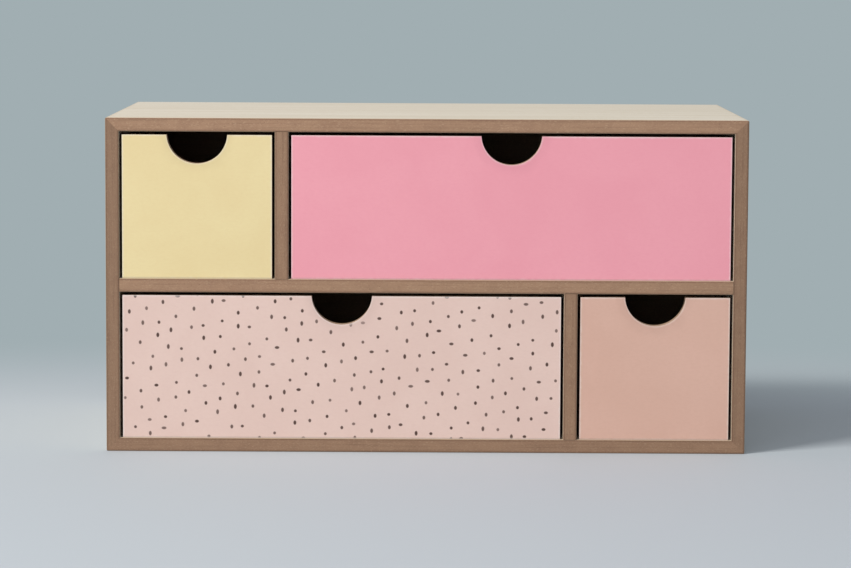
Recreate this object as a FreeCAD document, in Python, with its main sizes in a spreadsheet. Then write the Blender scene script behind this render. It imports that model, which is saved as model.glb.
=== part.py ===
import FreeCAD, Part
import os
import re
import Sketcher

# A small desk organizer: a wooden case with two rows of two drawers. Each row has one narrow and one
# wide drawer, and the narrow one is at the left above and at the right below. The drawers have no
# handles: a half-round finger notch is cut in the top edge of each front. The case's outer boards are
# mitred at their corners, so that the veneer runs on round them.
#
# Frame: millimetres, +Z up, the drawers open towards -Y, the origin is the middle of the base.

SIZES = {
    # the case
    "case_width": 330,
    "case_depth": 180,
    "case_height": 172.5,
    "board_thick": 7,
    "narrow_bay": 80,
    "arris": 0.5,
    "corner_chamfer": 0.6,
    # the shelf and the dividers end in housings that stop short of the front edge
    "housing_depth": 2.5,
    "housing_stop": 10,
    # the back panel lies in a rabbet round the back of the case
    "back_thick": 3,
    "rabbet_width": 4,
    # room round each drawer
    "front_recess": 1,
    "side_gap": 1.5,
    "top_gap": 1.75,
    "rear_gap": 1,
    # drawer boards
    "front_thick": 6,
    "lip_thick": 3,
    "wall_thick": 4,
    "wall_drop": 3,
    "floor_thick": 2.5,
    "groove_depth": 2,
    "groove_height": 3,
    "facing_thick": 0.3,
    # finger notch: a circle whose centre is a little above the front's top edge
    "notch_radius": 15.6,
    "notch_rise": 0.8,
    # pins
    "pin_radius": 0.5,
    "pin_length": 12,
    "pin_inset": 14,
    "head_radius": 1.1,
    "head_thick": 0.4,
}

# lengths and places that follow from the sheet
ROW_HEIGHT = "((case_height - 3 * board_thick) / 2)"
WIDE_BAY = "(case_width - 3 * board_thick - narrow_bay)"
INNER_WIDTH = "(case_width - 2 * board_thick)"
INNER_DEPTH = "(case_depth - back_thick)"
SHELF_Z = f"(board_thick + {ROW_HEIGHT})"
UPPER_ROW_Z = f"({SHELF_Z} + board_thick)"
TONGUE_RUN = f"({INNER_DEPTH} - housing_stop)"
LEDGE = "(board_thick - rabbet_width)"
PANEL_WIDTH = f"(case_width - 2 * {LEDGE})"
PANEL_HEIGHT = f"(case_height - 2 * {LEDGE})"
FRONT_Y = "(front_recess + facing_thick)"
DRAWER_HEIGHT = f"({ROW_HEIGHT} - top_gap)"
DRAWER_LENGTH = f"({INNER_DEPTH} - rear_gap - {FRONT_Y})"
WALL_HEIGHT = f"({DRAWER_HEIGHT} - wall_drop)"
FLOOR_TOP = "(groove_height + floor_thick)"

# the origin plane across each axis, and whether its normal points against that axis
PLANES = {"X": ("YZ_Plane", False), "Y": ("XZ_Plane", True), "Z": ("XY_Plane", False)}

doc = FreeCAD.newDocument("desk_organizer")
sheet = doc.addObject("Spreadsheet::Sheet", "Sizes")
for row, (alias, value) in enumerate(SIZES.items(), start=1):
    sheet.set(f"A{row}", alias)
    sheet.set(f"B{row}", str(value))
    sheet.setAlias(f"B{row}", alias)
doc.recompute()


def linked(expression):
    """The same expression with each size read from the sheet."""
    return re.sub(r"[a-z]+_?[a-z]+", lambda word: f"Sizes.{word.group()}", expression)


def new_sketch(body, name, axis, offset):
    """A sketch across an axis of the body, at an offset along that axis."""
    plane_role, against = PLANES[axis]
    plane = next(item for item in body.Origin.OriginFeatures if item.Role == plane_role)
    sketch = body.newObject("Sketcher::SketchObject", name)
    sketch.AttachmentSupport = [(plane, "")]
    sketch.MapMode = "FlatFace"
    sign = "-" if against else ""
    sketch.setExpression(".AttachmentOffset.Base.z", f"{sign}({linked(offset)})")
    return sketch


def constrain(sketch, expression, *parts):
    """Adds a dimension to the sketch and binds it to an expression."""
    index = sketch.addConstraint(Sketcher.Constraint(*parts, 1.0))
    sketch.setExpression(f"Constraints[{index}]", linked(expression))


def add_rectangle(sketch, corner, size):
    """A rectangle of horizontal and vertical lines, placed by its low corner."""
    points = [FreeCAD.Vector(x, y, 0) for x, y in ((1, 1), (2, 1), (2, 2), (1, 2))]
    first = sketch.GeometryCount
    for index in range(4):
        sketch.addGeometry(Part.LineSegment(points[index], points[(index + 1) % 4]), False)
    for index in range(4):
        sketch.addConstraint(
            Sketcher.Constraint("Coincident", first + index, 2, first + (index + 1) % 4, 1))
    for index, direction in enumerate(("Horizontal", "Vertical", "Horizontal", "Vertical")):
        sketch.addConstraint(Sketcher.Constraint(direction, first + index))
    constrain(sketch, corner[0], "DistanceX", -1, 1, first, 1)
    constrain(sketch, corner[1], "DistanceY", -1, 1, first, 1)
    constrain(sketch, size[0], "DistanceX", first, 1, first, 2)
    constrain(sketch, size[1], "DistanceY", first + 1, 1, first + 1, 2)


def add_outline(sketch, points):
    """A closed outline of straight lines through points, each placed by its own two dimensions."""
    first = sketch.GeometryCount
    count = len(points)
    for index in range(count):
        start = FreeCAD.Vector(index, index ** 2, 0)
        end = FreeCAD.Vector(index + 1, (index + 1) ** 2, 0)
        sketch.addGeometry(Part.LineSegment(start, end), False)
    for index in range(count):
        sketch.addConstraint(
            Sketcher.Constraint("Coincident", first + index, 2, first + (index + 1) % count, 1))
    for index, (x, y) in enumerate(points):
        constrain(sketch, x, "DistanceX", -1, 1, first + index, 1)
        constrain(sketch, y, "DistanceY", -1, 1, first + index, 1)


def add_circle(sketch, centre, radius):
    """A circle placed by its centre."""
    axis = FreeCAD.Vector(0, 0, 1)
    circle = sketch.addGeometry(Part.Circle(FreeCAD.Vector(1, 1, 0), axis, 0.5), False)
    constrain(sketch, centre[0], "DistanceX", -1, 1, circle, 3)
    constrain(sketch, centre[1], "DistanceY", -1, 1, circle, 3)
    constrain(sketch, radius, "Radius", circle)


def volume(body):
    """The body's volume, which is nothing before its first feature."""
    return 0 if body.Shape.isNull() else body.Shape.Volume


def add_feature(body, kind, name, sketch, axis, length):
    """A Pad or Pocket of the sketch, which runs from it along +axis; it has to change the volume."""
    against = PLANES[axis][1]
    before = volume(body)
    feature = body.newObject(f"PartDesign::{kind}", f"{name}_{kind}")
    feature.Profile = sketch
    feature.Reversed = against if kind == "Pad" else not against
    feature.setExpression("Length", linked(length))
    doc.recompute()
    change = volume(body) - before
    if abs(change) < 1e-6 or (change > 0) != (kind == "Pad"):
        raise RuntimeError(f"{body.Label}: {name} changed nothing")
    return feature


def new_body(label, corner):
    """An empty body whose own origin stands at a corner given in the part's frame."""
    body = doc.addObject("PartDesign::Body", label)
    body.Label = label
    body.AllowCompound = True
    for axis, expression in zip("xyz", corner):
        body.setExpression(f".Placement.Base.{axis}", linked(expression))
    return body


def add_blocks(body, kind, name, rectangles, low, height):
    """Upright blocks added to the body (Pad) or taken out of it (Pocket), over one Z span."""
    sketch = new_sketch(body, name, "Z", low)
    for corner, size in rectangles:
        add_rectangle(sketch, corner, size)
    return add_feature(body, kind, name, sketch, "Z", height)


def add_rods(body, kind, name, axis, low, length, centres, radius):
    """Round rods added to the body (Pad) or drilled out of it (Pocket), along one axis."""
    sketch = new_sketch(body, name, axis, low)
    for centre in centres:
        add_circle(sketch, centre, radius)
    return add_feature(body, kind, name, sketch, axis, length)


def new_board(label, corner, size):
    """A body that is one plain rectangular board, from its low corner."""
    body = new_body(label, corner)
    add_blocks(body, "Pad", "board", [(("0", "0"), size[:2])], "0", size[2])
    return body


def soften(body, *edges):
    """Rounds the edges where two outer sides of the body's box meet, such as "front top"."""
    box = body.Tip.Shape.BoundBox
    sides = {
        "left": ("x", box.XMin), "right": ("x", box.XMax),
        "front": ("y", box.YMin), "back": ("y", box.YMax),
        "bottom": ("z", box.ZMin), "top": ("z", box.ZMax),
    }
    names = []
    for number, edge in enumerate(body.Tip.Shape.Edges, start=1):
        for pair in edges:
            planes = [sides[side] for side in pair.split()]
            points = [vertex.Point for vertex in edge.Vertexes]
            if all(abs(getattr(point, axis) - at) < 1e-6 for point in points for axis, at in planes):
                names.append(f"Edge{number}")
    base = body.Tip
    fillet = body.newObject("PartDesign::Fillet", "arris_Fillet")
    fillet.Base = (base, names)
    fillet.setExpression("Radius", linked("arris"))
    doc.recompute()


def spread(count, start, end):
    """Places spaced evenly from one expression to another, with half a space at each end."""
    return [f"({start} + ({end} - ({start})) * {2 * index + 1} / {2 * count})" for index in range(count)]


# Pins of the back panel, as (x, z) from the case's lower left corner: in each row of boards they stand
# behind the bays, clear of the dividers, and in each side they stand behind the two rows.
PIN_EDGE = f"({LEDGE} + rabbet_width / 2)"
NARROW_AT_LEFT = spread(1, "board_thick", "board_thick + narrow_bay")
WIDE_AT_RIGHT = spread(2, "2 * board_thick + narrow_bay", "case_width - board_thick")
WIDE_AT_LEFT = spread(2, "board_thick", f"board_thick + {WIDE_BAY}")
NARROW_AT_RIGHT = spread(1, "case_width - board_thick - narrow_bay", "case_width - board_thick")
TOP_PINS = NARROW_AT_LEFT + WIDE_AT_RIGHT
BOTTOM_PINS = WIDE_AT_LEFT + NARROW_AT_RIGHT
SHELF_PINS = spread(3, "board_thick", "case_width - board_thick")
SIDE_PINS = [f"(board_thick + {ROW_HEIGHT} / 2)", f"({UPPER_ROW_Z} + {ROW_HEIGHT} / 2)"]
PIN_GRIP = "(pin_length - back_thick)"


def mitred_board(label, corner, outline):
    """A board whose section across Y is an outline with mitred ends."""
    board = new_body(label, corner)
    sketch = new_sketch(board, "section", "Y", "0")
    add_outline(sketch, outline)
    add_feature(board, "Pad", "section", sketch, "Y", "case_depth")
    return board


def mitred_outline(length, along, inner, outer):
    """The section of a mitred board that lies along X or along Z: full length on its outer face, and
    shorter by its thickness at each end on its inner face. Both faces are given by their place across
    the board. The sharp tips are cut back, so that two boards meet in the case's corner chamfer.
    """
    tip = "corner_chamfer / 2"
    below_outer = f"({outer} + ({inner} - ({outer})) * {tip} / board_thick)"
    steps = (
        ("board_thick", inner),
        (f"{length} - board_thick", inner),
        (f"{length} - {tip}", below_outer),
        (f"{length} - corner_chamfer", outer),
        ("corner_chamfer", outer),
        (tip, below_outer),
    )
    return [(step, depth) if along == "X" else (depth, step) for step, depth in steps]


def case_side(label, corner_x, inner_low, outer, inner):
    """An upright side; inner_low gives the low x of a cut of some depth in its inner face."""
    faces = {"left": "0", "right": "board_thick"}
    side = mitred_board(label, (corner_x, "-case_depth / 2", "0"),
                        mitred_outline("case_height", "Z", faces[inner], faces[outer]))
    housing = ((inner_low("housing_depth"), "housing_stop"), ("housing_depth", TONGUE_RUN))
    add_blocks(side, "Pocket", "shelf_housing", [housing], SHELF_Z, "board_thick")
    rabbet = ((inner_low("rabbet_width"), INNER_DEPTH), ("rabbet_width", "back_thick"))
    add_blocks(side, "Pocket", "back_rabbet", [rabbet], LEDGE, PANEL_HEIGHT)
    pin_x = f"({inner_low('rabbet_width')} + rabbet_width / 2)"
    add_rods(side, "Pocket", "pin_holes", "Y", f"({INNER_DEPTH} - {PIN_GRIP})", PIN_GRIP,
             [(pin_x, z) for z in SIDE_PINS], "pin_radius")
    soften(side, f"{outer} front", f"{outer} back", f"{inner} front")
    return side


def case_cover(label, corner_z, outer, inner, divider_x, housing_low, rabbet_low, pin_xs, pin_z):
    """The top or the bottom: mitred, with a divider's housing, the back rabbet and holes for pins."""
    faces = {"bottom": "0", "top": "board_thick"}
    board = mitred_board(label, ("-case_width / 2", "-case_depth / 2", corner_z),
                         mitred_outline("case_width", "X", faces[inner], faces[outer]))
    divider_housing(board, "divider_housing", f"board_thick + {divider_x}", housing_low)
    rabbet = ((LEDGE, INNER_DEPTH), (PANEL_WIDTH, "back_thick"))
    add_blocks(board, "Pocket", "back_rabbet", [rabbet], rabbet_low, "rabbet_width")
    board_pins(board, pin_xs, pin_z)
    soften(board, f"front {outer}", f"front {inner}", f"back {outer}")
    return board


def divider_housing(board, name, x, low):
    """The housing that a divider's tongue fills, in a level board's upper or lower face."""
    add_blocks(board, "Pocket", name, [((x, "housing_stop"), ("board_thick", TONGUE_RUN))],
               low, "housing_depth")


def board_pins(board, xs, z):
    """Holes for the back panel's pins in a level board's rear edge."""
    add_rods(board, "Pocket", "pin_holes", "Y", f"({INNER_DEPTH} - {PIN_GRIP})", PIN_GRIP,
             [(x, z) for x in xs], "pin_radius")


def build_shelf():
    """The shelf between the rows: a tongue at each end fills the side's housing."""
    shelf = new_board("case_shelf", ("-case_width / 2 + board_thick", "-case_depth / 2", SHELF_Z),
                      (INNER_WIDTH, INNER_DEPTH, "board_thick"))
    tongues = [
        (("-housing_depth", "housing_stop"), ("housing_depth", TONGUE_RUN)),
        ((INNER_WIDTH, "housing_stop"), ("housing_depth", TONGUE_RUN)),
    ]
    add_blocks(shelf, "Pad", "tongues", tongues, "0", "board_thick")
    divider_housing(shelf, "lower_divider_housing", WIDE_BAY, "0")
    divider_housing(shelf, "upper_divider_housing", "narrow_bay", "board_thick - housing_depth")
    board_pins(shelf, [f"{x} - board_thick" for x in SHELF_PINS], "board_thick / 2")
    soften(shelf, "front top", "front bottom")
    return shelf


def divider(label, x, z):
    """An upright divider as high as a row, with a full tongue below and above."""
    board = new_board(label, (f"-case_width / 2 + board_thick + {x}", "-case_depth / 2", z),
                      ("board_thick", INNER_DEPTH, ROW_HEIGHT))
    add_blocks(board, "Pad", "tongues", [(("0", "housing_stop"), ("board_thick", TONGUE_RUN))],
               "-housing_depth", f"{ROW_HEIGHT} + 2 * housing_depth")
    soften(board, "left front", "right front")
    return board


def build_case():
    """The case: two sides, top, bottom, shelf, two dividers, the back panel and its pins."""
    left = case_side("case_left_side", "-case_width / 2", lambda depth: f"(board_thick - {depth})",
                     "left", "right")
    right = case_side("case_right_side", "case_width / 2 - board_thick", lambda depth: "0",
                      "right", "left")

    bottom = case_cover("case_bottom", "0", "bottom", "top", WIDE_BAY, "board_thick - housing_depth",
                        LEDGE, BOTTOM_PINS, PIN_EDGE)
    top = case_cover("case_top", "case_height - board_thick", "top", "bottom", "narrow_bay", "0",
                     "0", TOP_PINS, "rabbet_width / 2")
    shelf = build_shelf()
    upper = divider("case_upper_divider", "narrow_bay", UPPER_ROW_Z)
    lower = divider("case_lower_divider", WIDE_BAY, "board_thick")
    return [left, right, bottom, top, shelf, upper, lower, *build_back_panel()]


def build_back_panel():
    """The panel in the back rabbet and the pins that hold it, their heads sunk flush."""
    corner = (f"-case_width / 2 + {LEDGE}", "case_depth / 2 - back_thick", LEDGE)
    panel = new_board("case_back_panel", corner, (PANEL_WIDTH, "back_thick", PANEL_HEIGHT))
    places = [(x, f"(case_height - {PIN_EDGE})") for x in TOP_PINS]
    places += [(x, f"({SHELF_Z} + board_thick / 2)") for x in SHELF_PINS]
    places += [(x, PIN_EDGE) for x in BOTTOM_PINS]
    places += [(x, z) for x in (PIN_EDGE, f"(case_width - {PIN_EDGE})") for z in SIDE_PINS]
    centres = [(f"{x} - {LEDGE}", f"{z} - {LEDGE}") for x, z in places]
    head_y = "(back_thick - head_thick)"
    add_rods(panel, "Pocket", "pin_holes", "Y", "0", "back_thick", centres, "pin_radius")
    add_rods(panel, "Pocket", "pin_heads", "Y", head_y, "head_thick", centres, "head_radius")

    pins = new_body("case_back_pins", corner)
    add_rods(pins, "Pad", "shanks", "Y", f"-{PIN_GRIP}", f"({PIN_GRIP} + {head_y})", centres,
             "pin_radius")
    add_rods(pins, "Pad", "heads", "Y", head_y, "head_thick", centres, "head_radius")
    return [panel, pins]


def cut_notch(body, width, thick):
    """The half-round finger notch in the middle of a front's top edge."""
    add_rods(body, "Pocket", "finger_notch", "Y", "0", thick,
             [(f"({width}) / 2", f"{DRAWER_HEIGHT} + notch_rise")], "notch_radius")


def drawer_board(name, corner, offset, size):
    """A board of a drawer, whose low corner is at an offset from the drawer's corner."""
    return new_board(name, [f"{start} + {step}" for start, step in zip(corner, offset)], size)


def drawer_front(name, corner, offset, width):
    """The front board: notched, with end rabbets for the sides and a groove for the bottom."""
    front = drawer_board(name, corner, offset, (width, "front_thick", DRAWER_HEIGHT))
    rabbet = ("wall_thick", "front_thick - lip_thick")
    rabbets = [(("0", "lip_thick"), rabbet), ((f"{width} - wall_thick", "lip_thick"), rabbet)]
    add_blocks(front, "Pocket", "end_rabbets", rabbets, "0", DRAWER_HEIGHT)
    groove = (("wall_thick", "front_thick - groove_depth"), (f"{width} - 2 * wall_thick", "groove_depth"))
    add_blocks(front, "Pocket", "bottom_groove", [groove], "groove_height", "floor_thick")
    cut_notch(front, width, "front_thick")
    return front


def drawer_facing(name, corner, offset, width):
    """The thin coloured sheet glued over the whole front."""
    facing = drawer_board(name, corner, offset, (width, "facing_thick", DRAWER_HEIGHT))
    cut_notch(facing, width, "facing_thick")
    return facing


def drawer_side(name, corner, offset, inner_low):
    """A side with a groove for the bottom and a rabbet at its rear end for the back."""
    run = f"({DRAWER_LENGTH} - lip_thick)"
    side = drawer_board(name, corner, offset, ("wall_thick", run, WALL_HEIGHT))
    groove = ((inner_low, "0"), ("groove_depth", run))
    add_blocks(side, "Pocket", "bottom_groove", [groove], "groove_height", "floor_thick")
    rabbet = ((inner_low, f"{run} - wall_thick"), ("groove_depth", "wall_thick"))
    add_blocks(side, "Pocket", "back_rabbet", [rabbet], "groove_height",
               f"{WALL_HEIGHT} - groove_height")
    return side


def drill(body, offset, *rows):
    """Drills a drawer board for rows of pins given from the drawer's corner: axis, low, centres."""
    shift = dict(zip("XYZ", offset))
    across = {"X": "YZ", "Y": "XZ", "Z": "XY"}
    for number, (axis, low, centres) in enumerate(rows, start=1):
        local = [[f"{value} - {shift[along]}" for value, along in zip(centre, across[axis])]
                 for centre in centres]
        add_rods(body, "Pocket", f"pin_holes_{number}", axis, f"{low} - {shift[axis]}", "pin_length",
                 local, "pin_radius")


def build_drawer(name, bay_x, bay_width, z):
    """One drawer in its bay: front, facing, two sides, back, bottom and the pins between them."""
    corner = (f"-case_width / 2 + {bay_x} + side_gap", f"-case_depth / 2 + {FRONT_Y}", z)
    width = f"({bay_width} - 2 * side_gap)"
    inset = "(wall_thick - groove_depth)"
    inner_width = f"({width} - 2 * {inset})"

    # each board's low corner from the drawer's own corner, which is the front board's
    at_front = ("0", "0", "0")
    at_facing = ("0", "-facing_thick", "0")
    at_left = ("0", "lip_thick", "0")
    at_right = (f"({width} - wall_thick)", "lip_thick", "0")
    at_back = (inset, f"({DRAWER_LENGTH} - wall_thick)", FLOOR_TOP)
    at_bottom = (inset, "(front_thick - groove_depth)", "groove_height")

    front = drawer_front(f"{name}_front", corner, at_front, width)
    facing = drawer_facing(f"{name}_facing", corner, at_facing, width)
    left = drawer_side(f"{name}_left_side", corner, at_left, inset)
    right = drawer_side(f"{name}_right_side", corner, at_right, "0")
    back = drawer_board(f"{name}_back", corner, at_back,
                        (inner_width, "wall_thick", f"{WALL_HEIGHT} - {FLOOR_TOP}"))
    bottom = drawer_board(f"{name}_bottom", corner, at_bottom,
                          (inner_width, f"{DRAWER_LENGTH} - {at_bottom[1]}", "floor_thick"))

    # rows of pins: along X they hold the sides to the front and the back, along Z the bottom to the back
    front_y = "((lip_thick + front_thick) / 2)"
    rear_y = f"({DRAWER_LENGTH} - wall_thick / 2)"
    heights = ["pin_inset", f"({WALL_HEIGHT} - pin_inset)"]
    far_low = f"({width} - pin_length)"
    front_pins = [(front_y, height) for height in heights]
    rear_pins = [(rear_y, height) for height in heights]
    left_row = ("X", "0", front_pins + rear_pins)
    right_row = ("X", far_low, front_pins + rear_pins)
    bottom_row = ("Z", "groove_height", [("(wall_thick + pin_inset)", rear_y),
                                         (f"({width} - wall_thick - pin_inset)", rear_y)])
    pins = new_body(f"{name}_pins", corner)
    for row_name, (axis, low, centres) in (("left", left_row), ("right", right_row), ("bottom", bottom_row)):
        add_rods(pins, "Pad", f"{row_name}_pins", axis, low, "pin_length", centres, "pin_radius")
    drill(front, at_front, ("X", "0", front_pins), ("X", far_low, front_pins))
    drill(left, at_left, left_row)
    drill(right, at_right, right_row)
    drill(back, at_back, ("X", "0", rear_pins), ("X", far_low, rear_pins), bottom_row)
    drill(bottom, at_bottom, bottom_row)
    for side in (left, right):
        soften(side, "left top", "right top")
    return [front, facing, left, right, back, bottom, pins]


def write_parts(bodies):
    """Checks the whole document, then writes each sub-part to its own STEP file."""
    for item in doc.Objects:
        if {"Invalid", "Error"} & set(item.State):
            raise RuntimeError(f"{item.Label} failed to build")
    for body in bodies:
        if body.Shape.isNull() or not body.Shape.isValid():
            raise RuntimeError(f"{body.Label} has no valid shape")
    os.makedirs("parts", exist_ok=True)
    for body in bodies:
        body.Shape.exportStep(f"parts/{body.Label}.step")


nodes = build_case()
nodes += build_drawer("upper_narrow_drawer", "board_thick", "narrow_bay", UPPER_ROW_Z)
nodes += build_drawer("upper_wide_drawer", "2 * board_thick + narrow_bay", WIDE_BAY, UPPER_ROW_Z)
nodes += build_drawer("lower_wide_drawer", "board_thick", WIDE_BAY, "board_thick")
nodes += build_drawer("lower_narrow_drawer", f"2 * board_thick + {WIDE_BAY}", "narrow_bay", "board_thick")
doc.recompute()
write_parts(nodes)
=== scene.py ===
"""Looks of a small desk organizer: a veneered case and four drawers with coloured, notched fronts.

The CAD boards stay as they are and get their finishes here. The facing papers of the drawers are
modelled here, with the rolled cut edge that real facing paper has, and so are the pins of the back
panel, with crowned heads.
"""

import logging
import math
from dataclasses import dataclass
from enum import Enum
from typing import Any

import bmesh
import bpy
import numpy as np
from mathutils import Matrix, Vector


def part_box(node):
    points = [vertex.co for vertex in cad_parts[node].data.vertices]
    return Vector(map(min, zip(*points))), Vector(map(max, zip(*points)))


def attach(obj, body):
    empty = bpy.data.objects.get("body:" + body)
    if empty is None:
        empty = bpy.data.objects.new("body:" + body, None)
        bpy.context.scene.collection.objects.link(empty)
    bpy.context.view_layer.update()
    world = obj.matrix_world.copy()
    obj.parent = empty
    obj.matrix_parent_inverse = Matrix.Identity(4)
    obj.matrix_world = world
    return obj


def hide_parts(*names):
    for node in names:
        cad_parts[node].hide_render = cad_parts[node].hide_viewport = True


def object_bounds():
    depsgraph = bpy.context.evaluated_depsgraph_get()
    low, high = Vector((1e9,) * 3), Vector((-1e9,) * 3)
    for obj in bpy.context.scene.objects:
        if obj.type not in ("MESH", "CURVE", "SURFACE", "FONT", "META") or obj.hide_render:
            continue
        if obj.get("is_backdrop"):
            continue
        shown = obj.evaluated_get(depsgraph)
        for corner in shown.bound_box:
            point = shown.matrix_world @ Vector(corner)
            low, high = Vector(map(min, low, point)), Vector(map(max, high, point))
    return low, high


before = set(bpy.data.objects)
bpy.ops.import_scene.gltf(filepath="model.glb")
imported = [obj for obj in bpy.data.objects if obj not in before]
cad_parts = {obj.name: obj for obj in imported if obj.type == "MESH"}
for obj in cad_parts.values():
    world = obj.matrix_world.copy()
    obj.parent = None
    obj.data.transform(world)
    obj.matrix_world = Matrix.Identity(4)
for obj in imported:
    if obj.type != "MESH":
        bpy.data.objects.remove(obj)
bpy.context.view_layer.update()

Socket = bpy.types.NodeSocket
Colour = tuple[float, float, float, float]

LOG = logging.getLogger("desk_organizer")
MM = 0.001
MIX_FACTOR, MIX_A, MIX_B, MIX_COLOUR = 0, 6, 7, 2
NOISE_ROUGHNESS = 0.55
SHEEN_RANGE = (0.3, 0.7)
OFF_THE_EDGE = 0.5 * MM
ROLL_STEPS = 5


class Axis(Enum):
    """An axis of the part's frame."""

    X = 0
    Y = 1
    Z = 2


# --------------------------------------------------------------------------------------------------
# Helpers for colours, nodes and meshes


def linear(code: str, tone: float = 1.0) -> Colour:
    """Turns an sRGB hex colour into linear RGB with full alpha.

    Args:
        code: six hex digits after a hash, such as "#D9CBB4".
        tone: makes the colour lighter or darker, as a factor on its linear values.

    Returns:
        The linear red, green, blue and alpha.
    """
    srgb = np.array([int(code[i:i + 2], 16) for i in (1, 3, 5)]) / 255
    # The sRGB curve is straight near black and a power above.
    rgb = np.where(srgb <= 0.04045, srgb / 12.92, ((srgb + 0.055) / 1.055) ** 2.4)
    return (*(rgb * tone).tolist(), 1.0)


def add_node(
    tree: bpy.types.NodeTree, kind: str, inputs: dict[int | str, Any] | None = None, **settings: Any
) -> bpy.types.Node:
    """Adds a node to a tree with its settings and its links.

    Args:
        tree: the node tree.
        kind: the node's type, without the leading "ShaderNode".
        inputs: input name or number to an output socket, which is linked, or to a plain value.
        settings: the node's own properties.

    Returns:
        The new node.
    """
    node = tree.nodes.new(f"ShaderNode{kind}")
    for name, value in settings.items():
        setattr(node, name, value)
    for name, value in (inputs or {}).items():
        if isinstance(value, Socket):
            tree.links.new(value, node.inputs[name])
        else:
            node.inputs[name].default_value = value
    return node


def lay_over(
    tree: bpy.types.NodeTree, ground: Socket | Colour, tone: Socket | Colour, pattern: Socket,
    start: float, end: float, strength: float = 1.0,
) -> Socket:
    """Lays one colour over another where a pattern is strong.

    The share of the upper colour is the strength times a smooth step of the pattern from start to end.

    Args:
        tree: the node tree.
        ground: the colour below.
        tone: the colour laid over it.
        pattern: the pattern that shows it.
        start: the pattern's value where the upper colour starts to show.
        end: the pattern's value where it shows at its full strength.
        strength: its largest share.

    Returns:
        The joined colour.
    """
    share = add_node(tree, "MapRange", {"Value": pattern, "From Min": start, "From Max": end,
                                        "To Max": strength}, interpolation_type="SMOOTHSTEP")
    mix = add_node(tree, "Mix", {MIX_FACTOR: share.outputs[0], MIX_A: ground, MIX_B: tone},
                   data_type="RGBA")
    return mix.outputs[MIX_COLOUR]


def place_in_mm(tree: bpy.types.NodeTree) -> tuple[Socket, list[Socket]]:
    """Adds the place on the object in millimetres.

    Args:
        tree: the node tree.

    Returns:
        The place as a vector, and its three parts.
    """
    place = add_node(tree, "TexCoord").outputs["Object"]
    scaled = add_node(tree, "VectorMath", {0: place, "Scale": 1 / MM}, operation="SCALE").outputs[0]
    return scaled, list(add_node(tree, "SeparateXYZ", {0: scaled}).outputs)


def new_material(name: str) -> tuple[bpy.types.Material, bpy.types.NodeTree]:
    """Makes an empty node material.

    Args:
        name: its name.

    Returns:
        The material and its node tree.
    """
    material = bpy.data.materials.new(name)
    material.use_nodes = True
    material.node_tree.nodes.clear()
    return material, material.node_tree


def put_on(piece: bpy.types.Object, material: bpy.types.Material) -> None:
    """Makes a material the only one of a piece."""
    piece.data.materials.clear()
    piece.data.materials.append(material)


def new_piece(name: str, points: np.ndarray, faces: list[list[int]]) -> bpy.types.Object:
    """Puts points and faces into a mesh object at the origin, with its faces turned outwards.

    Args:
        name: the object's name.
        points: an array of points, one row each, in metres.
        faces: lists of point numbers.

    Returns:
        The object, linked to the scene.
    """
    mesh = bpy.data.meshes.new(name)
    mesh.from_pydata(points.tolist(), [], faces)
    shape = bmesh.new()
    shape.from_mesh(mesh)
    bmesh.ops.recalc_face_normals(shape, faces=shape.faces)
    shape.to_mesh(mesh)
    shape.free()
    piece = bpy.data.objects.new(name, mesh)
    bpy.context.collection.objects.link(piece)
    return piece


# --------------------------------------------------------------------------------------------------
# What the finishes are made of


@dataclass(frozen=True)
class Clouds:
    """A cloudy pattern, from 0 to 1 and mostly near a half, and how much of a colour shows in it.

    Attributes:
        size: the blotches' size along each axis of the place, in millimetres.
        seed: the fourth coordinate of the noise, to which a board adds its own.
        shows: the pattern's values where the colour starts to show and where it shows fully.
        strength: the colour's largest share.
        detail: how many finer layers the noise has.
        distortion: how far it is warped.
    """

    size: tuple[float, float, float]
    seed: float = 0.0
    shows: tuple[float, float] = (0.3, 0.7)
    strength: float = 1.0
    detail: float = 2.0
    distortion: float = 0.0

    def pattern(self, tree: bpy.types.NodeTree, place: Socket, log: float = 0.0) -> Socket:
        """Adds the pattern alone.

        Args:
            tree: the node tree.
            place: the place in millimetres.
            log: the board's own place in the noise.

        Returns:
            The pattern.
        """
        scaled = add_node(tree, "VectorMath", {0: place, 1: [1 / value for value in self.size]},
                          operation="MULTIPLY")
        noise = add_node(tree, "TexNoise", {
            "Vector": scaled.outputs[0], "W": log + self.seed, "Scale": 1.0, "Detail": self.detail,
            "Roughness": NOISE_ROUGHNESS, "Distortion": self.distortion}, noise_dimensions="4D")
        return noise.outputs[0]

    def tint(
        self, tree: bpy.types.NodeTree, ground: Socket | Colour, tone: Socket | Colour, place: Socket,
        log: float = 0.0,
    ) -> tuple[Socket, Socket]:
        """Lays a colour over another in this pattern, and returns the joined colour and the pattern."""
        pattern = self.pattern(tree, place, log)
        return lay_over(tree, ground, tone, pattern, *self.shows, self.strength), pattern


@dataclass(frozen=True)
class Rim:
    """A worn band along an edge, whose border a pattern moves in and out.

    The band's colour goes by the distance from the edge plus the pattern times the sway.

    Attributes:
        sway: how far the pattern moves the border, in millimetres.
        start: the sum where the colour starts to show, in millimetres.
        end: the sum where it shows at its full strength, in millimetres.
        strength: its largest share.
    """

    sway: float
    start: float
    end: float
    strength: float

    def tint(
        self, tree: bpy.types.NodeTree, ground: Socket, tone: Socket | Colour, distance: Socket,
        pattern: Socket,
    ) -> Socket:
        """Lays a colour over another in this band."""
        moved = add_node(tree, "Math", {0: pattern, 1: self.sway, 2: distance}, operation="MULTIPLY_ADD")
        return lay_over(tree, ground, tone, moved.outputs[0], self.start, self.end, self.strength)


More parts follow.
